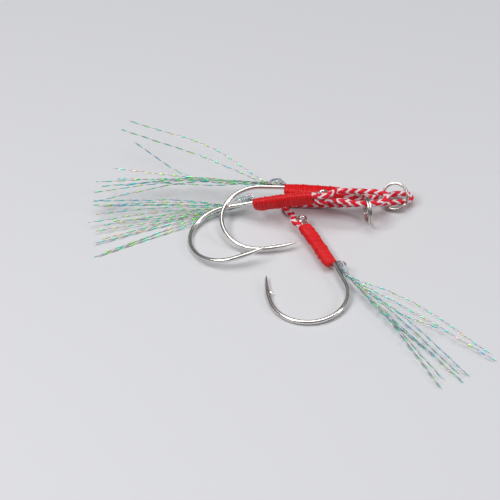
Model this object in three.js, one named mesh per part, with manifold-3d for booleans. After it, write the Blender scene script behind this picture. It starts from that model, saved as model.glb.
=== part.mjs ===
// Three single assist hooks on braided cord, with two split rings and tinsel tails.
// Units are millimetres and +Z is up. The object lies on the plane Z = 0.
import * as THREE from 'three';
import { mergeVertices } from 'three/addons/utils/BufferGeometryUtils.js';
import Module from 'manifold-3d';

// Hook wire. All three hooks are the same size.
const WIRE_R = 0.5;
const POINT_R = 0.56;
const TIP_R = 0.06;
const NEEDLE = 5.5;
const SHANK = 21;
const SHANK_STRAIGHT = 5;
const SHANK_BEND_R = 133;
const BEND_R = 8.46;
const BEND_TURN = 187;
const POINT_ARC_R = 26.7;
const POINT_TURN = 17;
const EYE_R = 0.8;
const EYE_WIRE_R = 0.33;
const BARB_BACK = 4;
const BARB_LENGTH = 1.7;
const BARB_RISE = 0.75;

// Cords, thread whippings and tinsel.
const CORD_R = 0.68;
const BORE_GAP = 0.06;
const THREAD = 0.28;
const TWIN_CORD_SIDE = 1.22;
const EYE_SIDE = 1.95;
const LOOP_CORD_SIDE = 1.0;
const LOOP_EYE_SIDE = 1.7;
const LOOP_CORD_SPREAD = 0.71;
const STRAND_R = 0.07;
const STRAND_PITCH = 0.24;
const STRAND_DROP = { a: 0, b: 1.0, c: 0.4 };
const LEAVE = 3.2;
const HINGE_GAP = 0.5;

// Split rings: two coils of flattened wire.
const RING_OUTER_R = 3.2;
const RING_WIRE_WIDTH = 0.55;
const RING_WIRE_THICK = 0.42;
const RING_COIL_GAP = 0.06;
const RING_TURNS = 1.88;
const CROSSOVER_START = 315;
const CROSSOVER_END = 357;
const RING_STEPS = 56;

// The place of each hook: the point where the bend starts, the way the shank runs
// towards the bend, and the way from the shank across to the hook's point.
const HOOKS = {
  a: { bend: [2.52, 15.36, 5.16], shank: [-0.999, 0.049, -0.016], gape: [-0.044, -0.972, -0.233] },
  b: { bend: [-5.05, 11.14, 2.92], shank: [-0.975, 0.002, -0.223], gape: [0.007, -0.999, -0.038] },
  c: { bend: [20.43, -12.2, 1.68], shank: [0.366, -0.93, -0.036], gape: [-0.93, -0.363, -0.062] },
};

// Where each whipping starts and ends, measured back along the shank from the bend.
const WHIPPINGS = {
  a: [5.1, 17.9],
  b: [5.9, 19.4],
  c: [6.0, 19.5],
};

// The twin cord runs from hook A's whipping round the main ring and back to hook C's.
const TWIN_CORD_ROUTE = [
  [25.8, 14.1, 2.9], [27.3, 15.4, 2.0], [29.3, 16.6, 1.35], [31.5, 17.1, 1.3], [33.6, 17.4, 1.45],
  [35.3, 17.1, 1.6], [36.1, 16.0, 1.65], [35.8, 14.9, 1.6], [34.4, 14.3, 1.65], [32.6, 13.9, 1.85],
  [30.8, 13.4, 2.1], [29.4, 12.5, 2.75], [27.9, 11.2, 4.0], [26.1, 10.25, 4.6], [24.2, 10.6, 4.2],
  [22.0, 12.0, 2.9], [19.5, 13.3, 1.7], [16.5, 13.9, 1.1], [13.0, 14.2, 0.85], [9.6, 14.4, 0.8],
];

// The loop cord leaves hook B's whipping, passes through the small ring and comes back.
const LOOP_CORD_ROUTE = [
  [20.0, 10.7, 7.9], [21.8, 11.5, 7.3], [23.8, 12.2, 6.6], [26.1, 12.5, 6.2], [28.2, 12.4, 6.15],
  [29.8, 11.9, 6.15], [30.5, 10.9, 6.1], [29.9, 9.8, 6.0], [28.2, 9.1, 5.85], [26.1, 8.95, 5.75],
  [23.8, 8.9, 5.8], [21.8, 8.95, 6.1], [20.0, 9.05, 6.4],
];

// Tinsel strands: a point half way along, x, y, z, then the tip x, y, z. Each leaves the
// whipping on the hook's outer side and runs in one bow to its tip.
const TAILS = {
  a: [
    [-8.8, 25.1, 8.5, -27.5, 35.2, 8.0], [-9.9, 22.0, 8.0, -29.4, 33.9, 6.5],
    [-12.3, 16.5, 6.6, -26.6, 28.5, 7.5], [-13.2, 15.9, 7.4, -30.8, 20.2, 6.5],
    [-12.1, 16.4, 6.0, -29.7, 18.4, 5.0], [-14.1, 17.6, 5.6, -34.5, 16.6, 5.5],
    [-13.2, 18.0, 5.0, -33.2, 16.9, 4.0], [-13.2, 18.7, 4.2, -34.8, 13.7, 5.0],
    [-13.6, 18.7, 3.6, -34.9, 12.8, 3.0], [-12.3, 19.1, 4.7, -28.6, 16.6, 4.4],
    [-9.9, 16.8, 4.4, -22.0, 19.5, 3.2],
  ],
  b: [
    [-17.2, 13.1, 3.2, -34.9, 12.5, 3.4], [-16.3, 12.7, 2.9, -34.9, 11.8, 2.8],
    [-17.6, 12.6, 2.4, -34.1, 12.2, 2.0], [-18.0, 12.1, 2.0, -34.3, 10.1, 1.6],
    [-17.2, 11.5, 1.5, -35.9, 7.3, 1.6], [-17.6, 10.7, 1.2, -33.2, 6.5, 1.4],
    [-17.6, 10.0, 0.9, -30.4, 8.7, 0.9], [-17.2, 9.6, 0.7, -34.1, 5.1, 1.0],
    [-16.7, 9.5, 0.5, -32.6, 2.6, 0.9], [-16.3, 8.6, 0.4, -34.3, 1.5, 0.6],
    [-17.2, 7.1, 0.3, -31.5, -1.3, 0.5], [-15.8, 6.5, 0.45, -34.1, -2.6, 0.3],
    [-18.5, 13.4, 1.4, -32.1, 13.7, 1.0],
  ],
  c: [
    [34.4, -19.2, 2.6, 50.0, -33.6, 1.2], [36.0, -22.7, 1.7, 51.3, -35.2, 0.6],
    [32.1, -22.3, 1.9, 39.8, -27.6, 2.6], [32.6, -22.9, 1.5, 45.3, -39.6, 0.6],
    [31.2, -21.8, 0.7, 43.4, -39.9, 1.1], [30.8, -23.3, 0.7, 44.1, -41.3, 0.3],
    [30.1, -24.6, 1.4, 39.8, -41.4, 1.2], [29.5, -23.2, 0.8, 39.4, -43.2, 0.5],
    [28.2, -22.1, 1.8, 36.3, -32.6, 1.8], [31.2, -24.1, 0.3, 38.3, -33.5, 0.6],
  ],
};

// From the places above to an origin in the middle of the footprint, on the ground.
const FOOTPRINT_SHIFT = [-7.715, 3.985, -0.05];

// The main ring leans on the twin cord; the small ring hangs edge-on from both cords.
const MAIN_RING = { centre: [32.5, 14.76, 2.85], normal: [-0.31, -0.71, 0.63] };
const SMALL_RING = { centre: [26.1, 8.75, 3.8], normal: [0.985, 0.17, 0] };

const STEEL = new THREE.MeshStandardMaterial({ color: 0xd9d2cb, roughness: 0.22, metalness: 1 });
const RING_STEEL = new THREE.MeshStandardMaterial({ color: 0xbdb6ac, roughness: 0.3, metalness: 1 });
const RED_THREAD = new THREE.MeshStandardMaterial({ color: 0xd6040f, roughness: 0.45, metalness: 0 });
const BRAID = new THREE.MeshStandardMaterial({ color: 0xe8304a, roughness: 0.6, metalness: 0 });
const TINSEL = new THREE.MeshStandardMaterial({ color: 0x6fe8c8, roughness: 0.25, metalness: 0.5 });

const manifold = await Module();
manifold.setup();

const vector = (list) => new THREE.Vector3(...list);
const radians = THREE.MathUtils.degToRad;

// A closed loft: each station has a centre, two axes across the path and two half-widths.
function loft(stations, sides) {
  const positions = [];
  const faces = [];
  for (const { centre, across, up, width, height } of stations) {
    for (let k = 0; k < sides; k += 1) {
      const turn = (2 * Math.PI * (k + 0.5)) / sides;
      const point = centre.clone();
      point.addScaledVector(across, width * Math.cos(turn));
      point.addScaledVector(up, height * Math.sin(turn));
      positions.push(point.x, point.y, point.z);
    }
  }
  for (let i = 0; i + 1 < stations.length; i += 1) {
    for (let k = 0; k < sides; k += 1) {
      const here = i * sides + k;
      const next = i * sides + ((k + 1) % sides);
      faces.push(here, next, next + sides, here, next + sides, here + sides);
    }
  }
  const last = (stations.length - 1) * sides;
  for (let k = 1; k + 1 < sides; k += 1) {
    faces.push(0, k + 1, k);
    faces.push(last, last + k, last + k + 1);
  }
  const geometry = new THREE.BufferGeometry();
  geometry.setAttribute('position', new THREE.Float32BufferAttribute(positions, 3));
  geometry.setIndex(faces);
  return geometry;
}

function toSolid(geometry) {
  const bare = new THREE.BufferGeometry();
  bare.setAttribute('position', geometry.getAttribute('position'));
  if (geometry.index) {
    bare.setIndex(geometry.index);
  }
  const merged = mergeVertices(bare, 1e-5);
  return new manifold.Manifold(new manifold.Mesh({
    numProp: 3,
    vertProperties: new Float32Array(merged.getAttribute('position').array),
    triVerts: new Uint32Array(merged.index.array),
  }));
}

function toGeometry(solid) {
  const mesh = solid.getMesh();
  const geometry = new THREE.BufferGeometry();
  geometry.setAttribute('position', new THREE.Float32BufferAttribute(mesh.vertProperties, 3));
  geometry.setIndex(Array.from(mesh.triVerts));
  return geometry;
}

// A hook's own frame: x along the shank towards the bend, y across to the point, z out
// of the plane of the hook.
function frameOf(hook) {
  const x = vector(hook.shank).normalize();
  const z = x.clone().cross(vector(hook.gape)).normalize();
  const y = z.clone().cross(x);
  return new THREE.Matrix4().makeBasis(x, y, z).setPosition(vector(hook.bend));
}

// The shank curves a little towards the point beyond its straight stretch.
function shankOffset(back) {
  const past = Math.max(0, back - SHANK_STRAIGHT);
  return (past * past) / (2 * SHANK_BEND_R);
}

function shankPoint(frame, back, side, out) {
  return new THREE.Vector3(-back, shankOffset(back) + side, out).applyMatrix4(frame);
}

// The wire's centreline in the hook's plane, from the eye to the tip.
function wireLine() {
  const line = [];
  for (let back = SHANK; back > 0; back -= SHANK / 10) {
    line.push([-back, shankOffset(back)]);
  }
  const bendSteps = 26;
  for (let k = 0; k <= bendSteps; k += 1) {
    const turn = radians((BEND_TURN * k) / bendSteps);
    line.push([BEND_R * Math.sin(turn), BEND_R * (1 - Math.cos(turn))]);
  }
  const [endX, endY] = line.at(-1);
  const start = radians(BEND_TURN);
  const centreX = endX - POINT_ARC_R * Math.sin(start);
  const centreY = endY + POINT_ARC_R * Math.cos(start);
  const pointSteps = 10;
  for (let k = 1; k <= pointSteps; k += 1) {
    const turn = start + radians((POINT_TURN * k) / pointSteps);
    line.push([centreX + POINT_ARC_R * Math.sin(turn), centreY - POINT_ARC_R * Math.cos(turn)]);
  }
  return line.map(([x, y]) => new THREE.Vector3(x, y, 0));
}

function wireRadius(toTip) {
  if (toTip < NEEDLE) {
    return TIP_R + (POINT_R - TIP_R) * Math.sqrt(toTip / NEEDLE);
  }
  return THREE.MathUtils.lerp(POINT_R, WIRE_R, Math.min(1, (toTip - NEEDLE) / 6));
}

function wireStations(line, radiusAt) {
  const lengths = [0];
  for (let i = 1; i < line.length; i += 1) {
    lengths.push(lengths[i - 1] + line[i].distanceTo(line[i - 1]));
  }
  return line.map((centre, i) => {
    const ahead = line[Math.min(i + 1, line.length - 1)];
    const behind = line[Math.max(i - 1, 0)];
    const along = ahead.clone().sub(behind).normalize();
    const up = new THREE.Vector3(0, 0, 1);
    const radius = radiusAt(lengths.at(-1) - lengths[i]);
    return { centre, across: up.clone().cross(along), up, width: radius, height: radius };
  });
}

// The barb is a thin spike lifted from the inside of the wire, aimed back from the tip.
function barbSolid(line) {
  let index = line.length - 1;
  while (line[index].distanceTo(line.at(-1)) < BARB_BACK) {
    index -= 1;
  }
  const root = line[index];
  const back = line[index - 1].clone().sub(root).normalize();
  const inward = new THREE.Vector3(back.y, -back.x, 0);
  const top = root.clone().addScaledVector(back, BARB_LENGTH);
  top.addScaledVector(inward, WIRE_R + BARB_RISE);
  const across = new THREE.Vector3(0, 0, 1);
  const up = top.clone().sub(root).normalize().cross(across);
  const stations = [
    { centre: root, across, up, width: 0.3, height: 0.45 },
    { centre: top, across, up, width: 0.05, height: 0.05 },
  ];
  return toSolid(loft(stations, 6));
}

function hookSolid() {
  const line = wireLine();
  const wire = toSolid(loft(wireStations(line, wireRadius), 10));
  const eye = new THREE.TorusGeometry(EYE_R, EYE_WIRE_R, 8, 16);
  eye.translate(-SHANK - EYE_R + 0.1, shankOffset(SHANK), 0);
  return wire.add(toSolid(eye)).add(barbSolid(line));
}

// A straight rod beside the shank, used to cut a whipping's bores.
function shankRod(back0, back1, side, out, radius) {
  const steps = 8;
  const line = [];
  for (let k = 0; k <= steps; k += 1) {
    const back = THREE.MathUtils.lerp(back1, back0, k / steps);
    line.push(new THREE.Vector3(-back, shankOffset(back) + side, out));
  }
  return toSolid(loft(wireStations(line, () => radius), 10));
}

// Where the cord's runs lie beside a hook's shank.
function cordRuns(name) {
  if (name === 'b') {
    return [[LOOP_CORD_SIDE, LOOP_CORD_SPREAD], [LOOP_CORD_SIDE, -LOOP_CORD_SPREAD]];
  }
  return [[TWIN_CORD_SIDE, 0]];
}

// Thread wound over the shank and the cord: an oval sleeve with tapered ends.
function whippingSolid(name) {
  const [near, far] = WHIPPINGS[name];
  const runs = cordRuns(name);
  const top = WIRE_R + BORE_GAP + THREAD;
  const bottom = runs[0][0] + CORD_R + BORE_GAP + THREAD;
  const side = (bottom - top) / 2;
  const width = (bottom + top) / 2;
  const height = CORD_R + runs[0][1] + BORE_GAP + THREAD;
  const taper = 1.2;
  const backs = [near, near + taper, (2 * near + far) / 3, (near + 2 * far) / 3, far - taper, far];
  const stations = backs.map((back, i) => {
    const atEnd = i === 0 || i === backs.length - 1;
    const shrink = atEnd ? THREAD * 0.55 : 0;
    return {
      centre: new THREE.Vector3(-back, shankOffset(back) + side, 0),
      across: new THREE.Vector3(0, 1, 0),
      up: new THREE.Vector3(0, 0, 1),
      width: width - shrink,
      height: height - shrink,
    };
  });
  let sleeve = toSolid(loft(stations.reverse(), 14));
  sleeve = sleeve.subtract(shankRod(near - 1, far + 1, 0, 0, WIRE_R + BORE_GAP));
  for (const [run, out] of runs) {
    sleeve = sleeve.subtract(shankRod(near - 1, far + 1, run, out, CORD_R + BORE_GAP));
  }
  if (runs.length > 1) {
    sleeve = sleeve.subtract(shankRod(near - 1, far + 1, CORD_R * 0.8, 0, CORD_R / 2));
  }
  const bodies = sleeve.decompose();
  return bodies.sort((one, other) => other.volume() - one.volume())[0];
}

function circleShape(radius, sides) {
  const points = [];
  for (let k = 0; k < sides; k += 1) {
    const turn = (2 * Math.PI * k) / sides;
    points.push(new THREE.Vector2(radius * Math.cos(turn), radius * Math.sin(turn)));
  }
  return new THREE.Shape(points);
}

function tube(curve, radius, sides, steps) {
  return new THREE.ExtrudeGeometry(circleShape(radius, sides), {
    steps,
    bevelEnabled: false,
    extrudePath: curve,
  });
}

function cordGeometry(points) {
  const curve = new THREE.CatmullRomCurve3(points, false, 'centripetal');
  return tube(curve, CORD_R, 8, Math.max(4, Math.round(curve.getLength() / 1.1)));
}

// How high the ring's wire lies: one flat coil, a short crossover, then the other coil.
function coilRise(turn) {
  const pitch = RING_WIRE_THICK + RING_COIL_GAP;
  return (THREE.MathUtils.smoothstep(turn, CROSSOVER_START, CROSSOVER_END) - 0.5) * pitch;
}

// A split ring: flattened wire wound almost twice round, lying in its own XY plane.
function ringGeometry() {
  const middle = RING_OUTER_R - RING_WIRE_WIDTH / 2;
  const half = Math.SQRT1_2;
  const stations = [];
  for (let k = 0; k <= RING_STEPS; k += 1) {
    const turn = (360 * RING_TURNS * k) / RING_STEPS;
    const outward = new THREE.Vector3(Math.cos(radians(turn)), Math.sin(radians(turn)), 0);
    stations.push({
      centre: outward.clone().multiplyScalar(middle).setZ(coilRise(turn)),
      across: outward.clone(),
      up: new THREE.Vector3(0, 0, 1),
      width: RING_WIRE_WIDTH * half,
      height: RING_WIRE_THICK * half,
    });
  }
  return loft(stations.reverse(), 4);
}

function addMesh(group, name, geometry, material) {
  const mesh = new THREE.Mesh(geometry, material);
  mesh.name = name;
  group.add(mesh);
  return mesh;
}

const assembly = new THREE.Group();
const hook = hookSolid();
const frames = {};

for (const [name, place] of Object.entries(HOOKS)) {
  const frame = frameOf(place);
  frames[name] = frame;
  const arm = new THREE.Group();
  arm.applyMatrix4(frame);
  addMesh(arm, `hook_${name}`, toGeometry(hook), STEEL);
  addMesh(arm, `whipping_${name}`, toGeometry(whippingSolid(name)), RED_THREAD);
  assembly.add(arm);
}

// Each cord is one piece between the hinges and one piece with every hook.
const twinRoute = TWIN_CORD_ROUTE.map(vector);
addMesh(assembly, 'twin_cord', cordGeometry(twinRoute), BRAID);
const cordBacks = [7, 10, 13, 16, 18, 19.4];
const cordEndA = cordBacks.map((back) => shankPoint(frames.a, back, TWIN_CORD_SIDE, 0));
cordEndA.push(shankPoint(frames.a, 20.6, 1.1, -0.7), shankPoint(frames.a, 22, 0.8, -1.15));
cordEndA.push(new THREE.Vector3(25.0, 13.5, 3.7));
addMesh(assembly, 'twin_cord_end_a', cordGeometry(cordEndA), BRAID);
const cordEndC = cordBacks.map((back) => shankPoint(frames.c, back, TWIN_CORD_SIDE, 0));
cordEndC.push(shankPoint(frames.c, 20.6, 1.55, 0), shankPoint(frames.c, 21.8, EYE_SIDE, 0));
cordEndC.push(new THREE.Vector3(9.7, 9.8, 1.35), new THREE.Vector3(8.3, 12.0, 0.95));
cordEndC.push(new THREE.Vector3(7.6, 13.4, 0.85), new THREE.Vector3(8.6, 14.3, 0.8));
addMesh(assembly, 'twin_cord_end_c', cordGeometry(cordEndC), BRAID);

addMesh(assembly, 'loop_cord', cordGeometry(LOOP_CORD_ROUTE.map(vector)), BRAID);
const loopEnds = { back: [1, LOOP_CORD_ROUTE[0]], front: [-1, LOOP_CORD_ROUTE.at(-1)] };
for (const [name, [sign, target]] of Object.entries(loopEnds)) {
  const points = cordBacks.map((back) => (
    shankPoint(frames.b, back, LOOP_CORD_SIDE, sign * LOOP_CORD_SPREAD)));
  points.push(shankPoint(frames.b, 20.4, 1.35, sign * (LOOP_CORD_SPREAD + 0.06)));
  points.push(shankPoint(frames.b, 21.8, LOOP_EYE_SIDE, sign * (LOOP_CORD_SPREAD + 0.12)));
  points.push(shankPoint(frames.b, 23.1, 1.3, sign * LOOP_CORD_SPREAD));
  const last = vector(target);
  last.x -= 2 * HINGE_GAP;
  points.push(last);
  addMesh(assembly, `loop_cord_end_${name}`, cordGeometry(points), BRAID);
}

// Strands start side by side in rows on the outer side of the shank.
for (const [name, rows] of Object.entries(TAILS)) {
  const near = WHIPPINGS[name][0] - 0.12;
  rows.forEach((row, index) => {
    const column = index % 5;
    const layer = Math.floor(index / 5);
    const side = -(WIRE_R + 0.2 + STRAND_PITCH * layer);
    const out = STRAND_PITCH * (2 - column);
    const start = shankPoint(frames[name], near, side, out);
    const leave = shankPoint(frames[name], near - LEAVE, side, out - STRAND_DROP[name]);
    const points = [start, leave, vector(row.slice(0, 3)), vector(row.slice(3))];
    const curve = new THREE.CatmullRomCurve3(points, false, 'centripetal');
    const label = String(index + 1).padStart(2, '0');
    addMesh(assembly, `tinsel_${name}_${label}`, tube(curve, STRAND_R, 4, 12), TINSEL);
  });
}

for (const [name, ring] of Object.entries({ main_split_ring: MAIN_RING, small_split_ring: SMALL_RING })) {
  const mesh = addMesh(assembly, name, ringGeometry(), RING_STEEL);
  mesh.quaternion.setFromUnitVectors(new THREE.Vector3(0, 0, 1), vector(ring.normal).normalize());
  mesh.position.copy(vector(ring.centre));
}

assembly.position.set(...FOOTPRINT_SHIFT);
const rig = new THREE.Group();
rig.add(assembly);

export default rig;
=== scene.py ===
"""Looks for three single assist hooks on braided cord, with two split rings and tinsel tails."""

import math

import bpy
import numpy as np
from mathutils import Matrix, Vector


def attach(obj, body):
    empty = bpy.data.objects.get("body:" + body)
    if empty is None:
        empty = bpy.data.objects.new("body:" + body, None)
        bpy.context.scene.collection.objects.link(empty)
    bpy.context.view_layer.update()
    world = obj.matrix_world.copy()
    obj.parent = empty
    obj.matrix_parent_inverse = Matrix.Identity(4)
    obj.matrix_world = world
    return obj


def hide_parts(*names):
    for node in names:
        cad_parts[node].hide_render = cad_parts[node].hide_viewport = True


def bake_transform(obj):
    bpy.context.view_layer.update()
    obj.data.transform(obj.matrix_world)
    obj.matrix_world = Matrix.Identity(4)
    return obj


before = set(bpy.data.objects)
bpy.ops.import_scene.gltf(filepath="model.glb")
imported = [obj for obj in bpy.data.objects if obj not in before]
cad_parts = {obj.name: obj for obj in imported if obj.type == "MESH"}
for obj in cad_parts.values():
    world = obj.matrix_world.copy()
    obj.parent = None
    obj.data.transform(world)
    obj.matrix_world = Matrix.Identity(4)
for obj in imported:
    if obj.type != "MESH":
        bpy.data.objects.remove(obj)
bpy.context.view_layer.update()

# Lengths below are millimetres in the layout's own axes; the shift moves the origin to
# the middle of the footprint, as in the CAD part.
MM = 0.001
FOOTPRINT_SHIFT = np.array((-7.715, 3.985, -0.05))
rng = np.random.default_rng(11)

# Hook wire, the same for all three hooks.
WIRE_R = 0.5
POINT_R = 0.56
TIP_R = 0.03
NEEDLE = 5.5
SHANK = 21.0
SHANK_STRAIGHT = 5.0
SHANK_BEND_R = 133.0
BEND_R = 8.46
BEND_TURN = math.radians(187)
POINT_ARC_R = 26.7
POINT_TURN = math.radians(17)
EYE_R = 0.8
EYE_WIRE_R = 0.33
BARB_BACK = 4.0
BARB_LENGTH = 1.8
BARB_RISE = 0.75
BARB_ROOT = 0.1
WIRE_STEP = 0.22
WIRE_SIDES = 28

HOOKS = {
    "a": {"bend": (2.52, 15.36, 5.16), "shank": (-0.999, 0.049, -0.016), "gape": (-0.044, -0.972, -0.233)},
    "b": {"bend": (-5.05, 11.14, 2.92), "shank": (-0.975, 0.002, -0.223), "gape": (0.007, -0.999, -0.038)},
    "c": {"bend": (20.43, -12.2, 1.68), "shank": (0.366, -0.93, -0.036), "gape": (-0.93, -0.363, -0.062)},
}
WHIPPINGS = {"a": (5.1, 17.9), "b": (5.9, 19.4), "c": (6.0, 19.5)}

# Braided cord.
CORD_R = 0.68
CORD_STEP = 0.17
BRAID_R = 0.5
BRAID_WAVE = 0.09
BRAID_LEAD = 4.8
BRAID_CARRIERS = 4
RED_HALF_WIDTH = 0.36
WHITE_HALF_WIDTH = 0.24
CARRIER_HALF_THICK = 0.09
TWIN_CORD_SIDE = 1.22
EYE_SIDE = 1.95
LOOP_CORD_SIDE = 1.0
LOOP_EYE_SIDE = 1.7
LOOP_CORD_SPREAD = 0.71
CORD_BACKS = (7, 10, 13, 16, 18, 19.4)
TWIN_CORD_ROUTE = [
    (25.8, 14.1, 2.9), (27.3, 15.4, 2.0), (29.3, 16.6, 1.35), (31.5, 17.1, 1.3), (33.6, 17.4, 1.45),
    (35.3, 17.1, 1.6), (36.1, 16.0, 1.65), (35.8, 14.9, 1.6), (34.4, 14.3, 1.65), (32.6, 13.9, 1.85),
    (30.8, 13.4, 2.1), (29.4, 12.5, 2.75), (27.9, 11.2, 4.0), (26.1, 10.25, 4.6), (24.2, 10.6, 4.2),
    (22.0, 12.0, 2.9), (19.5, 13.3, 1.7), (16.5, 13.9, 1.1), (13.0, 14.2, 0.85), (9.6, 14.4, 0.8),
]
LOOP_CORD_ROUTE = [
    (20.0, 10.7, 7.9), (21.8, 11.5, 7.3), (23.8, 12.2, 6.6), (26.1, 12.5, 6.2), (28.2, 12.4, 6.15),
    (29.8, 11.9, 6.15), (30.5, 10.9, 6.1), (29.9, 9.8, 6.0), (28.2, 9.1, 5.85), (26.1, 8.95, 5.75),
    (23.8, 8.9, 5.8), (21.8, 8.95, 6.1), (20.0, 9.05, 6.4),
]

# Thread whippings.
THREAD_PITCH = 0.4
THREAD_LAYER = 0.3
RIDGE = 0.15
SLEEVE_SIDES = 72
ROWS_PER_TURN = 11
CORD_EMERGES = 3.2
CROSSING_TURNS = 7
CROSSING_R = 0.12

# Split rings.
RING_OUTER_R = 3.2
RING_WIRE_WIDTH = 0.55
RING_WIRE_THICK = 0.42
RING_COIL_GAP = 0.06
RING_TURNS = 1.88
RING_TURN_STEP = 2.5
RING_EDGE_POWER = 0.42
CROSSOVER = (315.0, 357.0)
MAIN_RING = {"centre": (32.5, 14.76, 2.85), "normal": (-0.31, -0.71, 0.63)}
SMALL_RING = {"centre": (26.1, 8.75, 3.8), "normal": (0.985, 0.17, 0.0)}

# Tinsel: a narrow film, twisted.
FILM_WIDTH = 0.3
FILM_THICK = 0.035
FILM_TWIST = 6.2
FILM_STEP = 0.33
FILM_WANDER_STEP = 3
FOLD_COUNT = 4


# ---------------------------------------------------------------- curves and meshes
def unit(v):
    v = np.asarray(v, float)
    return v / np.linalg.norm(v, axis=-1, keepdims=True)


def route(points, step):
    """A centripetal Catmull-Rom curve through the points, cut at equal steps of about that length."""
    p = np.asarray(points, float)
    p = np.vstack((2 * p[0] - p[1], p, 2 * p[-1] - p[-2]))
    out = []
    for x0, x1, x2, x3 in zip(p, p[1:], p[2:], p[3:]):
        d0, d1, d2 = (math.sqrt(np.linalg.norm(b - a)) for a, b in ((x0, x1), (x1, x2), (x2, x3)))
        m1 = ((x1 - x0) / d0 - (x2 - x0) / (d0 + d1) + (x2 - x1) / d1) * d1
        m2 = ((x2 - x1) / d1 - (x3 - x1) / (d1 + d2) + (x3 - x2) / d2) * d1
        t = np.linspace(0, 1, 40, endpoint=False)[:, None]
        out.append(x1 + m1 * t + (3 * (x2 - x1) - 2 * m1 - m2) * t**2 + (2 * (x1 - x2) + m1 + m2) * t**3)
    fine = np.vstack((*out, p[-2]))
    along = np.concatenate(([0], np.cumsum(np.linalg.norm(np.diff(fine, axis=0), axis=1))))
    even = np.linspace(0, along[-1], max(3, round(along[-1] / step) + 1))
    return np.stack([np.interp(even, along, fine[:, k]) for k in range(3)], axis=1)


def travel(line):
    return np.concatenate(([0], np.cumsum(np.linalg.norm(np.diff(line, axis=0), axis=1))))


def carried_frame(line):
    """Tangents of a line and two cross axes carried along it without twist."""
    tangent = unit(np.gradient(line, axis=0))
    up = np.array((0.0, 0.0, 1.0))
    ups = []
    for t in tangent:
        up = unit(up - t * (up @ t))
        ups.append(up)
    ups = np.array(ups)
    return tangent, np.cross(ups, tangent), ups


def section(sides, power=1.0):
    """The outline of a rod: a circle, or with a power below 1 a rounded rectangle."""
    turn = 2 * np.pi * (np.arange(sides) + 0.5) / sides
    c, s = np.cos(turn), np.sin(turn)
    return np.stack((np.sign(c) * np.abs(c)**power, np.sign(s) * np.abs(s)**power), axis=1)


class Build:
    """Gathers vertices, faces and per-vertex values for one piece."""

    def __init__(self):
        self.verts, self.faces, self.values, self.count = [], [], [], 0

    def grid(self, points, closed_ends=True, **values):
        """Skins rows of points, each row a closed ring. Values are numbers or arrays over the rows."""
        rows, sides, _ = points.shape
        base = self.count
        index = base + np.arange(rows * sides).reshape(rows, sides)
        a, b = index[:-1], np.roll(index[:-1], -1, axis=1)
        c, d = np.roll(index[1:], -1, axis=1), index[1:]
        self.faces += np.stack((a, b, c, d), axis=-1).reshape(-1, 4).tolist()
        if closed_ends:
            self.faces += [index[0, ::-1].tolist(), index[-1].tolist()]
        self.verts.append(points.reshape(-1, 3))
        for name, value in values.items():
            value = np.asarray(value, float)
            over_rows = value[:, None] if value.ndim == 1 else value
            self.values.append((name, self.count, np.broadcast_to(over_rows, (rows, sides)).reshape(-1)))
        self.count += rows * sides

    def rod(self, line, across, up, width, height, outline, **values):
        """Sweeps an outline along a line."""
        width = np.broadcast_to(width, len(line))[:, None, None]
        height = np.broadcast_to(height, len(line))[:, None, None]
        points = line[:, None, :] + across[:, None, :] * width * outline[None, :, :1] \
            + up[:, None, :] * height * outline[None, :, 1:]
        along = travel(line)
        around = np.broadcast_to(np.arange(len(outline)) / len(outline), (len(line), len(outline)))
        self.grid(points, along=along, around=around, **values)

    def finish(self, name, material, flip=False):
        mesh = bpy.data.meshes.new(name)
        verts = (np.vstack(self.verts) + FOOTPRINT_SHIFT) * MM
        faces = [f[::-1] for f in self.faces] if flip else self.faces
        mesh.from_pydata(verts.tolist(), [], faces)
        mesh.update()
        mesh.shade_smooth()
        for key in dict.fromkeys(name for name, _, _ in self.values):
            filled = np.zeros(self.count, np.float32)
            for _, start, value in (v for v in self.values if v[0] == key):
                filled[start:start + len(value)] = value
            mesh.attributes.new(key, "FLOAT", "POINT").data.foreach_set("value", filled)
        piece = bpy.data.objects.new(name, mesh)
        bpy.context.collection.objects.link(piece)
        mesh.materials.append(material)
        return piece


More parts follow.
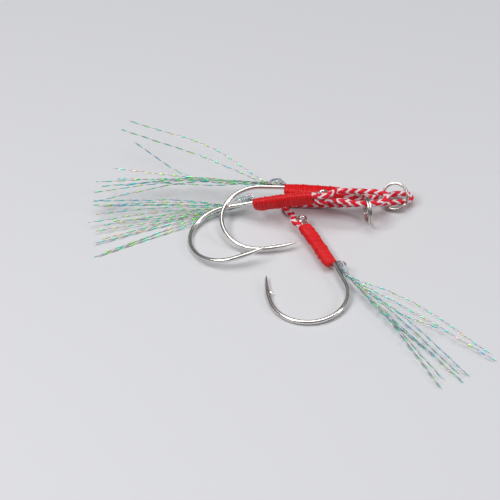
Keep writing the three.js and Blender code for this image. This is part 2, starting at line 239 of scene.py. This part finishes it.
# ---------------------------------------------------------------- materials
class Nodes:
    """A material's node tree, with short calls for the nodes used here."""

    def __init__(self, name):
        self.material = bpy.data.materials.new(name)
        self.material.use_nodes = True
        self.tree = self.material.node_tree
        self.shader = self.tree.nodes["Principled BSDF"]

    def link(self, value, socket):
        if isinstance(value, bpy.types.NodeSocket):
            self.tree.links.new(value, socket)
        else:
            socket.default_value = value

    def value(self, name):
        node = self.tree.nodes.new("ShaderNodeAttribute")
        node.attribute_name = name
        return node.outputs["Fac"]

    def position(self):
        return self.tree.nodes.new("ShaderNodeTexCoord").outputs["Object"]

    def math(self, operation, a, b=0.0, c=0.0):
        node = self.tree.nodes.new("ShaderNodeMath")
        node.operation = operation
        for value, socket in zip((a, b, c), node.inputs):
            self.link(value, socket)
        return node.outputs[0]

    def vector(self, x, y, z=0.0):
        node = self.tree.nodes.new("ShaderNodeCombineXYZ")
        for value, socket in zip((x, y, z), node.inputs):
            self.link(value, socket)
        return node.outputs[0]

    def noise(self, where, scale, detail=3.0, rough=0.55):
        node = self.tree.nodes.new("ShaderNodeTexNoise")
        self.link(where, node.inputs["Vector"])
        node.inputs["Scale"].default_value = scale
        node.inputs["Detail"].default_value = detail
        node.inputs["Roughness"].default_value = rough
        return node.outputs["Fac"]

    def stretched_noise(self, x, x_scale, y, y_scale, detail, rough=0.55):
        """Noise over two per-vertex values, each with its own scale."""
        where = self.vector(self.math("MULTIPLY", x, x_scale), self.math("MULTIPLY", y, y_scale))
        return self.noise(where, 1.0, detail, rough)

    def ramp(self, value, stops):
        node = self.tree.nodes.new("ShaderNodeValToRGB")
        self.link(value, node.inputs["Fac"])
        steps = node.color_ramp.elements
        while len(steps) < len(stops):
            steps.new(0.5)
        for step, (place, colour) in zip(steps, stops):
            step.position = place
            step.color = (*colour, 1.0)
        return node.outputs["Color"]

    def mix(self, factor, a, b):
        node = self.tree.nodes.new("ShaderNodeMix")
        node.data_type = "RGBA"
        for value, socket in ((factor, node.inputs[0]), (a, node.inputs[6]), (b, node.inputs[7])):
            self.link((*value, 1.0) if isinstance(value, tuple) else value, socket)
        return node.outputs[2]

    def bump(self, height, strength, distance):
        node = self.tree.nodes.new("ShaderNodeBump")
        node.inputs["Strength"].default_value = strength
        node.inputs["Distance"].default_value = distance
        self.link(height, node.inputs["Height"])
        self.link(node.outputs["Normal"], self.shader.inputs["Normal"])

    def set(self, **sockets):
        for name, value in sockets.items():
            socket = self.shader.inputs[name.replace("_", " ")]
            self.link((*value, 1.0) if isinstance(value, tuple) and len(value) == 3 else value, socket)
        return self.material


def steel(name, bright, dark, rough):
    """Bright metal with fine drawing lines along the wire and faint handling marks."""
    n = Nodes(name)
    lines = n.stretched_noise(n.value("along"), 0.35, n.value("around"), 60.0, 4.0)
    marks = n.noise(n.position(), 900.0, 4.0, 0.6)
    tone = n.math("MULTIPLY_ADD", lines, 0.5, n.math("MULTIPLY", marks, 0.5))
    n.bump(n.math("MULTIPLY_ADD", marks, 0.6, lines), 0.12, 0.00002)
    return n.set(Base_Color=n.ramp(tone, [(0.3, dark), (0.62, bright)]), Metallic=1.0,
                 Roughness=n.math("MULTIPLY_ADD", tone, 0.22, rough))


def thread_material():
    """Waxed red thread: fine fibres along each turn, with shade painted darker in the grooves between
    turns.
    """
    n = Nodes("red_thread")
    turn = n.value("wind")
    fibres = n.stretched_noise(turn, 34.0, n.value("around"), 9.0, 4.0, 0.7)
    patch = n.noise(n.position(), 1400.0, 3.0)
    tone = n.math("MULTIPLY_ADD", fibres, 0.55, n.math("MULTIPLY", patch, 0.45))
    colour = n.ramp(tone, [(0.25, (0.42, 0.0, 0.002)), (0.5, (0.78, 0.0, 0.004)),
                           (0.78, (0.95, 0.006, 0.01))])
    # Painted shade: the thread colour is mixed toward near black in the grooves between turns.
    shaded = n.mix(n.value("groove"), colour, (0.22, 0.0, 0.002))
    n.bump(fibres, 0.5, 0.00003)
    return n.set(Base_Color=shaded, Roughness=n.math("MULTIPLY_ADD", fibres, 0.3, 0.3), Coat_Weight=0.12,
                 Coat_Roughness=0.25, Specular_IOR_Level=0.35)


def braid_material():
    """Braided cord: each carrier is red or white, with filaments along it."""
    n = Nodes("red_white_braid")
    across, along = n.math("MULTIPLY", n.value("around"), 26.0), n.math("MULTIPLY", n.value("along"), 0.9)
    filament = n.noise(n.vector(across, along, n.value("shade")), 1.0, 3.0, 0.7)
    red = n.ramp(filament, [(0.25, (0.5, 0.0, 0.012)), (0.55, (0.8, 0.002, 0.022)),
                            (0.8, (0.93, 0.04, 0.07))])
    white = n.ramp(filament, [(0.25, (0.72, 0.4, 0.46)), (0.5, (0.86, 0.74, 0.77)),
                              (0.75, (0.93, 0.9, 0.92))])
    colour = n.mix(n.value("white"), red, white)
    n.bump(filament, 0.55, 0.00004)
    return n.set(Base_Color=colour, Roughness=n.math("MULTIPLY_ADD", filament, 0.25, 0.4),
                 Specular_IOR_Level=0.35)


def film_material():
    """Iridescent film: bright glints painted where the twist turns the film's flat side up, pinkish
    between them.
    """
    n = Nodes("tinsel_film")
    along, shade = n.value("along"), n.value("shade")
    offset = n.math("MULTIPLY", shade, 7.0)
    # Painted highlight: a glint that peaks twice per twist, where the film's flat side turns up, in step
    # with the twist of the geometry.
    glint_phase = n.math("PINGPONG", n.math("MULTIPLY_ADD", along, 2.0 / FILM_TWIST, offset), 0.5)
    bright = n.ramp(n.math("MULTIPLY", glint_phase, 2.0), [(0.3, (0.0, 0.0, 0.0)), (0.62, (1.0, 1.0, 1.0))])
    hue = n.noise(n.vector(n.math("MULTIPLY", along, 0.21), n.math("MULTIPLY", shade, 40.0)), 1.0, 1.0)
    # The colours of the painted glints, varying at random along each strand.
    glint_colour = n.ramp(hue, [(0.28, (0.1, 0.42, 0.85)), (0.4, (0.02, 0.72, 0.74)), (0.5, (0.04, 0.78, 0.42)),
                         (0.6, (0.38, 0.84, 0.07)), (0.68, (0.88, 0.62, 0.3)), (0.78, (0.85, 0.5, 0.78))])
    crease = n.stretched_noise(along, 9.0, n.value("around"), 3.0, 3.0)
    n.bump(crease, 0.4, 0.00003)
    # Towards the tie the glint colours turn pearl white.
    pearl = n.ramp(n.math("DIVIDE", along, 16.0), [(0.12, (0.75, 0.75, 0.75)), (0.6, (0.0, 0.0, 0.0))])
    glint_colour = n.mix(pearl, glint_colour, (0.8, 0.82, 0.9))
    # Away from the painted glints the film keeps its own greyish to pinkish colour.
    colour = n.mix(bright, n.ramp(hue, [(0.35, (0.33, 0.38, 0.47)), (0.65, (0.52, 0.38, 0.45))]), glint_colour)
    return n.set(Base_Color=colour, Metallic=0.55, Roughness=n.math("MULTIPLY_ADD", crease, 0.2, 0.12),
                 Coat_Weight=0.5, Coat_Roughness=0.08, Thin_Film_Thickness=420.0, Thin_Film_IOR=1.5)


HOOK_STEEL = steel("tinned_hook_steel", (0.86, 0.83, 0.8), (0.6, 0.57, 0.54), 0.1)
RING_STEEL = steel("split_ring_steel", (0.76, 0.73, 0.69), (0.42, 0.4, 0.37), 0.14)
THREAD = thread_material()
BRAID = braid_material()
FILM = film_material()


# ---------------------------------------------------------------- hooks
def hook_axes(name):
    x = unit(HOOKS[name]["shank"])
    z = unit(np.cross(x, HOOKS[name]["gape"]))
    return np.array(HOOKS[name]["bend"]), x, np.cross(z, x), z


def shank_offset(back):
    return np.maximum(0, np.asarray(back, float) - SHANK_STRAIGHT)**2 / (2 * SHANK_BEND_R)


def place(name, local):
    """Points in a hook's own frame, x along the shank, y to the point, z out, to the layout."""
    origin, x, y, z = hook_axes(name)
    local = np.asarray(local, float)
    return origin + local[..., :1] * x + local[..., 1:2] * y + local[..., 2:] * z


def turn_to(name, vectors):
    return place(name, vectors) - hook_axes(name)[0]


def beside_shank(name, back, side, out=0.0):
    return place(name, (-back, float(shank_offset(back)) + side, out))


def wire_line():
    """The wire's centreline in the hook's own plane, from the eye to the tip."""
    back = np.arange(SHANK, 0, -WIRE_STEP)
    shank = np.stack((-back, shank_offset(back)), axis=1)
    turn = np.linspace(0, BEND_TURN, round(BEND_R * BEND_TURN / WIRE_STEP))
    bend = BEND_R * np.stack((np.sin(turn), 1 - np.cos(turn)), axis=1)
    centre = bend[-1] + POINT_ARC_R * np.array((-math.sin(BEND_TURN), math.cos(BEND_TURN)))
    turn = BEND_TURN + np.linspace(0, POINT_TURN, round(POINT_ARC_R * POINT_TURN / WIRE_STEP))[1:]
    point = centre + POINT_ARC_R * np.stack((np.sin(turn), -np.cos(turn)), axis=1)
    flat = np.vstack((shank, bend, point))
    return np.column_stack((flat, np.zeros(len(flat))))


def local_frame(line):
    tangent = unit(np.gradient(line, axis=0))
    up = np.broadcast_to((0.0, 0.0, 1.0), line.shape)
    return tangent, np.cross(up, tangent), up


def hook(name):
    line = wire_line()
    tangent, across, up = local_frame(line)
    to_tip = travel(line)[-1] - travel(line)
    needle = np.clip(to_tip / NEEDLE, 0, 1)
    radius = np.where(to_tip < NEEDLE, TIP_R + (POINT_R - TIP_R) * np.sqrt(needle),
                      np.interp(to_tip, (NEEDLE, NEEDLE + 6), (POINT_R, WIRE_R)))
    build = Build()
    build.rod(place(name, line), turn_to(name, across), turn_to(name, up), radius, radius,
              section(WIRE_SIDES))
    turn = np.linspace(0, 2 * math.pi, 49)[:-1]
    outward = np.stack((np.cos(turn), np.sin(turn), 0 * turn), axis=1)
    middle = np.array((-SHANK - EYE_R + 0.1, float(shank_offset(SHANK)), 0))
    ring = np.vstack((outward, outward[:1]))
    out = turn_to(name, np.broadcast_to((0.0, 0.0, 1.0), ring.shape))
    build.rod(place(name, middle + EYE_R * ring), turn_to(name, ring), out, EYE_WIRE_R, EYE_WIRE_R,
              section(18)[::-1])
    # The barb is a sliver lifted from the inside of the wire, curving away from it.
    start = int(np.argmin(np.abs(to_tip - BARB_BACK)))
    back, inward = -tangent[start], across[start]
    share = np.linspace(0, 1, 14)[:, None]
    rise = BARB_ROOT + (WIRE_R + BARB_RISE - BARB_ROOT) * share**1.25
    barb = line[start] + back * BARB_LENGTH * share + inward * rise
    run = unit(np.gradient(barb, axis=0))
    side = np.broadcast_to((0.0, 0.0, 1.0), barb.shape)
    build.rod(place(name, barb), turn_to(name, side), turn_to(name, np.cross(run, side)),
              0.32 * (1 - share[:, 0])**0.7 + 0.015, 0.36 * (1 - share[:, 0])**0.9 + 0.012, section(14))
    piece = build.finish(f"hook_{name}_wire", HOOK_STEEL)
    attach(piece, f"hook_{name}_arm")
    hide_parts(f"hook_{name}")


# ---------------------------------------------------------------- whippings
def hull_outline(circles, sides, sharp=9.0):
    """The outline of a thread pulled round some circles: points and outward directions."""
    turn = 2 * np.pi * np.arange(sides) / sides
    normal = np.stack((np.cos(turn), np.sin(turn)), axis=1)
    reach = np.stack([normal @ np.array(centre) + radius for centre, radius in circles])
    weight = np.exp(sharp * (reach - reach.max(axis=0)))
    weight /= weight.sum(axis=0)
    points = sum(w[:, None] * (np.array(centre) + radius * normal)
                 for w, (centre, radius) in zip(weight, circles))
    return points, normal


def wound_round(name, back, layer):
    """What the thread lies on at a place along the shank: the wire and one or two cord legs."""
    spread = LOOP_CORD_SPREAD if name == "b" else 0.0
    side = LOOP_CORD_SIDE if name == "b" else TWIN_CORD_SIDE
    full = min(1.0, 0.5 + (back - WHIPPINGS[name][0]) / CORD_EMERGES)
    cord = side * (0.55 + 0.45 * full)
    circles = [((0.0, 0.0), WIRE_R + layer)]
    for sign in (-1, 1) if spread else (0,):
        circles.append(((cord, sign * spread * full), CORD_R * (0.62 + 0.38 * full) + layer))
    return hull_outline(circles, SLEEVE_SIDES)


def drawn_in(ring, share):
    middle = ring.mean(axis=0)
    return (middle + (ring - middle) * share)[None]


def crossing_turn(build, name, number):
    """A turn that crosses the others, where the thread was taken back and tied off."""
    near, far = WHIPPINGS[name]
    mid = rng.uniform(near + 1.4, far - 1.4)
    lean = rng.uniform(0.5, 1.3) * rng.choice((-1, 1))
    start = rng.uniform(0, 1)
    points = []
    for q in np.linspace(0, rng.uniform(0.55, 1.0), 40):
        back = np.clip(mid + lean * (q - 0.5), near + 0.5, far - 0.5)
        outline, normal = wound_round(name, back, THREAD_LAYER)
        here = int((start + q) * SLEEVE_SIDES) % SLEEVE_SIDES
        part = (start + q) * SLEEVE_SIDES % 1.0
        following = (here + 1) % SLEEVE_SIDES
        on_thread = outline[here] * (1 - part) + outline[following] * part + normal[here] * 0.03
        points.append((-back, on_thread[0] + float(shank_offset(back)), on_thread[1]))
    line = place(name, np.array(points))
    _, across, up = carried_frame(line)
    fade = np.sin(np.linspace(0.05, math.pi - 0.05, len(line)))**0.4
    # The crossing turns lie on top, with no painted groove shade.
    build.rod(line, across, up, CROSSING_R * fade, CROSSING_R * fade, section(8)[::-1],
              groove=0.0, wind=float(number))


def whipping(name):
    near, far = WHIPPINGS[name]
    turns = (far - near) / THREAD_PITCH
    share = np.linspace(0, 1, round(turns * ROWS_PER_TURN))
    angle = np.arange(SLEEVE_SIDES) / SLEEVE_SIDES
    wander = np.cumsum(rng.normal(0, 0.02, len(share)))
    wander -= np.linspace(0, wander[-1], len(share))
    swell = np.interp(np.linspace(0, 14, len(share)), np.arange(15), rng.uniform(-0.035, 0.05, 15))
    rows, grooves, winds = [], [], []
    for s, drift, extra in zip(share, wander, swell):
        back = near + (far - near) * s
        end = min(1.0, (back - near) / 0.5, (far - back) / 0.7)
        points, normal = wound_round(name, back, THREAD_LAYER * (1 - (1 - max(end, 0.0))**2))
        wind = turns * s + drift * 2.0 - angle
        ridge = np.sqrt(np.maximum(0.0, 1 - (2 * (wind % 1.0) - 1)**2))
        points = points + normal * ((ridge - 1) * RIDGE + extra)[:, None]
        beside = points[:, 0] + float(shank_offset(back))
        rows.append(place(name, np.column_stack((np.full(SLEEVE_SIDES, -back), beside, points[:, 1]))))
        # How much painted shade each point gets, most in the grooves between turns.
        grooves.append((1 - ridge)**1.3)
        winds.append(wind)
    rows = np.concatenate((drawn_in(rows[0], 0.72), np.array(rows), drawn_in(rows[-1], 0.8)))
    grooves = np.vstack((grooves[0], grooves, grooves[-1]))
    winds = np.vstack((winds[0], winds, winds[-1]))
    build = Build()
    build.grid(rows, groove=grooves, wind=winds, around=np.broadcast_to(angle, grooves.shape))
    for number in range(CROSSING_TURNS):
        crossing_turn(build, name, number)
    piece = build.finish(f"whipping_{name}_thread", THREAD, flip=True)
    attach(piece, f"hook_{name}_arm")
    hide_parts(f"whipping_{name}")


# ---------------------------------------------------------------- cords
def braid(name, line, first, last, along, axes):
    """The stretch of a braided cord between two of the line's points, as woven carriers on a core."""
    tangent, side, up = (a[first:last] for a in axes)
    centre, z = line[first:last], along[first:last]
    build = Build()
    crossing = 2 * BRAID_CARRIERS * z / BRAID_LEAD
    for hand in (1, -1):
        for k in range(BRAID_CARRIERS):
            angle = hand * 2 * np.pi * z / BRAID_LEAD + 2 * np.pi * k / BRAID_CARRIERS
            phase = np.pi / 2 * (hand * crossing + 2 * k - 0.5)
            radius = BRAID_R + hand * BRAID_WAVE * np.cos(phase)
            radial = side * np.cos(angle)[:, None] + up * np.sin(angle)[:, None]
            path = centre + radial * radius[:, None]
            run = unit(np.gradient(path, axis=0))
            across = unit(np.cross(radial, run))
            white = 1.0 if k % 2 == 0 else 0.0
            width = WHITE_HALF_WIDTH if white else RED_HALF_WIDTH
            build.rod(path, across, np.cross(run, across), width, CARRIER_HALF_THICK, section(10, 0.8),
                      white=white, shade=float(k + 8 * (hand > 0)))
    core = BRAID_R - 0.02
    build.rod(centre, np.cross(up, tangent), up, core, core, section(12), white=0.0, shade=20.0)
    return build.finish(name, BRAID)


def spot(x, y, z):
    """A point of the layout, in the frame's metres."""
    return tuple((np.array((x, y, z)) + FOOTPRINT_SHIFT) * MM)


def nearest(line, point):
    return int(np.argmin(np.linalg.norm(line - np.asarray(point), axis=1)))


def leg(name, spots):
    return [beside_shank(name, *spot) for spot in spots]


def cords():
    leg_a = leg("a", [(b, TWIN_CORD_SIDE) for b in CORD_BACKS] + [(20.6, 1.1, -0.7), (22, 0.8, -1.15)])
    leg_c = leg("c", [(b, TWIN_CORD_SIDE) for b in CORD_BACKS] + [(20.6, 1.55), (21.8, EYE_SIDE)])
    leg_c += [(9.7, 9.8, 1.35), (8.3, 12.0, 0.95), (7.6, 13.4, 0.85), (8.6, 14.3, 0.8)]
    twin = route([*leg_a, (25.0, 13.5, 3.7), *TWIN_CORD_ROUTE, *leg_c[::-1]], CORD_STEP)
    axes, along = carried_frame(twin), travel(twin)
    first = nearest(twin, (29.3, 16.6, 1.35))
    last = nearest(twin, (13.0, 14.2, 0.85))
    end_a = braid("twin_cord_braid_a", twin, 0, first + 1, along, axes)
    middle = braid("twin_cord_braid", twin, first, last + 1, along, axes)
    end_c = braid("twin_cord_braid_c", twin, last, len(twin), along, axes)
    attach(middle, "cords")
    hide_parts("twin_cord")
    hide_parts("twin_cord_end_a")
    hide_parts("twin_cord_end_c")
    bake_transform(end_a)
    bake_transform(end_c)

    legs = {}
    for key, sign, target in (("back", 1, LOOP_CORD_ROUTE[0]), ("front", -1, LOOP_CORD_ROUTE[-1])):
        spots = [(b, LOOP_CORD_SIDE, sign * LOOP_CORD_SPREAD) for b in CORD_BACKS]
        spots += [(20.4, 1.35, sign * (LOOP_CORD_SPREAD + 0.06)),
                  (21.8, LOOP_EYE_SIDE, sign * (LOOP_CORD_SPREAD + 0.12)),
                  (23.1, 1.3, sign * LOOP_CORD_SPREAD)]
        legs[key] = [*leg("b", spots), np.array(target) - (1.0, 0, 0)]
    loop = route([*legs["back"], *LOOP_CORD_ROUTE, *legs["front"][::-1]], CORD_STEP)
    axes, along = carried_frame(loop), travel(loop)
    first = nearest(loop, (23.8, 12.2, 6.6))
    last = nearest(loop, (23.8, 8.9, 5.8))
    back = braid("loop_cord_braid_back", loop, 0, first + 1, along, axes)
    middle = braid("loop_cord_braid", loop, first, last + 1, along, axes)
    front = braid("loop_cord_braid_front", loop, last, len(loop), along, axes)
    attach(middle, "cords")
    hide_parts("loop_cord")
    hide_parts("loop_cord_end_back")
    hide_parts("loop_cord_end_front")
    for piece in (back, front):
        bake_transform(piece)


# ---------------------------------------------------------------- split rings
def split_ring(name, node, place_of, body):
    turn = np.arange(0, 360 * RING_TURNS, RING_TURN_STEP)
    share = np.clip((turn - CROSSOVER[0]) / (CROSSOVER[1] - CROSSOVER[0]), 0, 1)
    rise = (share**2 * (3 - 2 * share) - 0.5) * (RING_WIRE_THICK + RING_COIL_GAP)
    spin = Vector((0, 0, 1)).rotation_difference(Vector(place_of["normal"]))
    rotate = np.array(spin.to_matrix())
    outward = np.stack((np.cos(np.radians(turn)), np.sin(np.radians(turn)), 0 * turn), axis=1)
    line = outward * (RING_OUTER_R - RING_WIRE_WIDTH / 2) + np.column_stack((0 * turn, 0 * turn, rise))
    up = np.broadcast_to((0.0, 0.0, 1.0), line.shape)
    build = Build()
    taper = np.clip(np.minimum(turn, turn[-1] - turn) / 4.0, 0.0, 1.0)
    size = 0.82 + 0.18 * np.sqrt(taper)
    build.rod(line @ rotate.T + np.array(place_of["centre"]), outward @ rotate.T, up @ rotate.T,
              RING_WIRE_WIDTH / 2 * size, RING_WIRE_THICK / 2 * size, section(24, RING_EDGE_POWER)[::-1])
    piece = build.finish(name, RING_STEEL)
    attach(piece, body)
    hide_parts(node)


# ---------------------------------------------------------------- tinsel
def strand_line(node):
    """The centreline of a CAD strand, from the whipping to the tip, in layout millimetres."""
    points = np.array([v.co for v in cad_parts[node].data.vertices]) / MM - FOOTPRINT_SHIFT
    points = np.unique(points.round(4), axis=0)
    origin = hook_axes(node.split("_")[1])[0]
    far = points[np.argmax(np.linalg.norm(points - origin, axis=1))]
    near = points[np.argmin(np.linalg.norm(points - origin, axis=1))]
    order = np.argsort((points - near) @ unit(far - near))
    return points[order].reshape(-1, 4, 3).mean(axis=1)


def film(build, points, wobble=0.07):
    line = route(points, FILM_STEP)
    along = travel(line)
    shade = rng.uniform(0, 1)
    _, side, up = carried_frame(line)
    marks = np.arange(0, along[-1] + FILM_WANDER_STEP, FILM_WANDER_STEP)
    sway = np.interp(along, marks, rng.normal(0, wobble, len(marks)))
    lift = np.interp(along, marks, rng.normal(0, wobble * 0.5, len(marks)))
    ease = np.clip(along / 4, 0, 1)[:, None]
    line = line + (side * sway[:, None] + up * np.maximum(lift, 0)[:, None]) * ease
    twist = 2 * np.pi * (along / FILM_TWIST) + shade * 7 * math.pi
    flat = side * np.cos(twist)[:, None] + up * np.sin(twist)[:, None]
    edge = np.cross(unit(np.gradient(line, axis=0)), flat)
    width = FILM_WIDTH / 2 * np.interp(along, (0, 1.5, along[-1] - 0.4, along[-1]), (0.7, 1, 1, 0.75))
    build.rod(line, flat, edge, width, FILM_THICK / 2, section(6, 0.7), shade=shade)


def tail(name, nodes):
    build = Build()
    near = WHIPPINGS[name][0]
    for node in nodes:
        line = strand_line(node)
        out = (line[0] - beside_shank(name, near - 0.12, 0.0)) @ hook_axes(name)[3]
        tucked = beside_shank(name, near + 0.4, -0.72, out)
        film(build, [tucked, *line])
    # Some film is folded back at the tie, in short standing loops.
    _, x, y, z = hook_axes(name)
    for _ in range(FOLD_COUNT):
        reach, height = rng.uniform(2.6, 5.6), rng.uniform(0.7, 1.7)
        out = rng.uniform(-0.4, 0.5)
        lift = unit(-y * 0.8 + z * np.sign(z[2]) * rng.uniform(0.2, 0.9))
        start = beside_shank(name, near + 0.25, -0.78, out)
        t = np.linspace(0, 1, 9)[:, None]
        arc = start + x * reach * t + lift * height * np.sin(np.pi * t**0.8)
        film(build, arc, 0.03)
    piece = build.finish(f"tail_{name}_film", FILM)
    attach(piece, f"tail_{name}")
    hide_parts(*nodes)


for name in HOOKS:
    hook(name)
    whipping(name)
    tail(name, sorted(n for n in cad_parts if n.startswith(f"tinsel_{name}_")))
cords()
split_ring("main_split_ring_coils", "main_split_ring", MAIN_RING, "main_ring")
split_ring("small_split_ring_coils", "small_split_ring", SMALL_RING, "small_ring")


# ---------------------------------------------------------------- floor, light and camera
FLOOR_HALF = 1.6
FLOOR_Z = -0.00005


def floor():
    """A plain pale table top, wide enough for a view from any side."""
    corners = [(x * FLOOR_HALF, y * FLOOR_HALF, FLOOR_Z) for x, y in ((-1, -1), (1, -1), (1, 1), (-1, 1))]
    mesh = bpy.data.meshes.new("floor")
    mesh.from_pydata(corners, [], [(0, 1, 2, 3)])
    sheet = bpy.data.objects.new("floor", mesh)
    bpy.context.collection.objects.link(sheet)
    n = Nodes("pale_floor")
    mesh.materials.append(n.set(Base_Color=(0.66, 0.66, 0.68), Roughness=0.55))


def lamp(name, place_at, size, power):
    """A soft lamp that faces the middle of the object."""
    light = bpy.data.lights.new(name, "AREA")
    light.shape = "RECTANGLE"
    light.size, light.size_y = size
    light.energy = power
    holder = bpy.data.objects.new(name, light)
    bpy.context.collection.objects.link(holder)
    holder.location = place_at
    holder.rotation_mode = "QUATERNION"
    holder.rotation_quaternion = (-Vector(place_at)).to_track_quat("-Z", "Y")


floor()
lamp("key", (-0.22, -0.12, 0.34), (0.2, 0.12), 0.75)
lamp("overhead", (0.05, 0.1, 0.95), (0.9, 0.6), 5.0)
lamp("side", (0.34, -0.06, 0.2), (0.07, 0.14), 0.3)
world = bpy.data.worlds.new("studio")
world.use_nodes = True
world.node_tree.nodes["Background"].inputs["Color"].default_value = (0.86, 0.88, 0.92, 1.0)
world.node_tree.nodes["Background"].inputs["Strength"].default_value = 0.2
bpy.context.scene.world = world
bpy.context.scene.view_settings.view_transform = "Standard"

# The camera looks along +Y, 42 degrees down, from about half a metre away.
CAMERA_ELEVATION = math.radians(42)
CAMERA_DISTANCE = 0.523
CAMERA_LENS = 171.0
camera = bpy.data.objects.new("camera", bpy.data.cameras.new("camera"))
bpy.context.collection.objects.link(camera)
target = Vector(spot(0.0, 0.0, 0.0))
away = Vector((0.0, -math.cos(CAMERA_ELEVATION), math.sin(CAMERA_ELEVATION)))
camera.location = target + away * CAMERA_DISTANCE
camera.rotation_mode = "QUATERNION"
camera.rotation_quaternion = (-away).to_track_quat("-Z", "Y")
camera.data.lens = CAMERA_LENS
camera.data.sensor_width = 36.0
camera.data.clip_start, camera.data.clip_end = 0.01, 10.0
bpy.context.scene.camera = camera
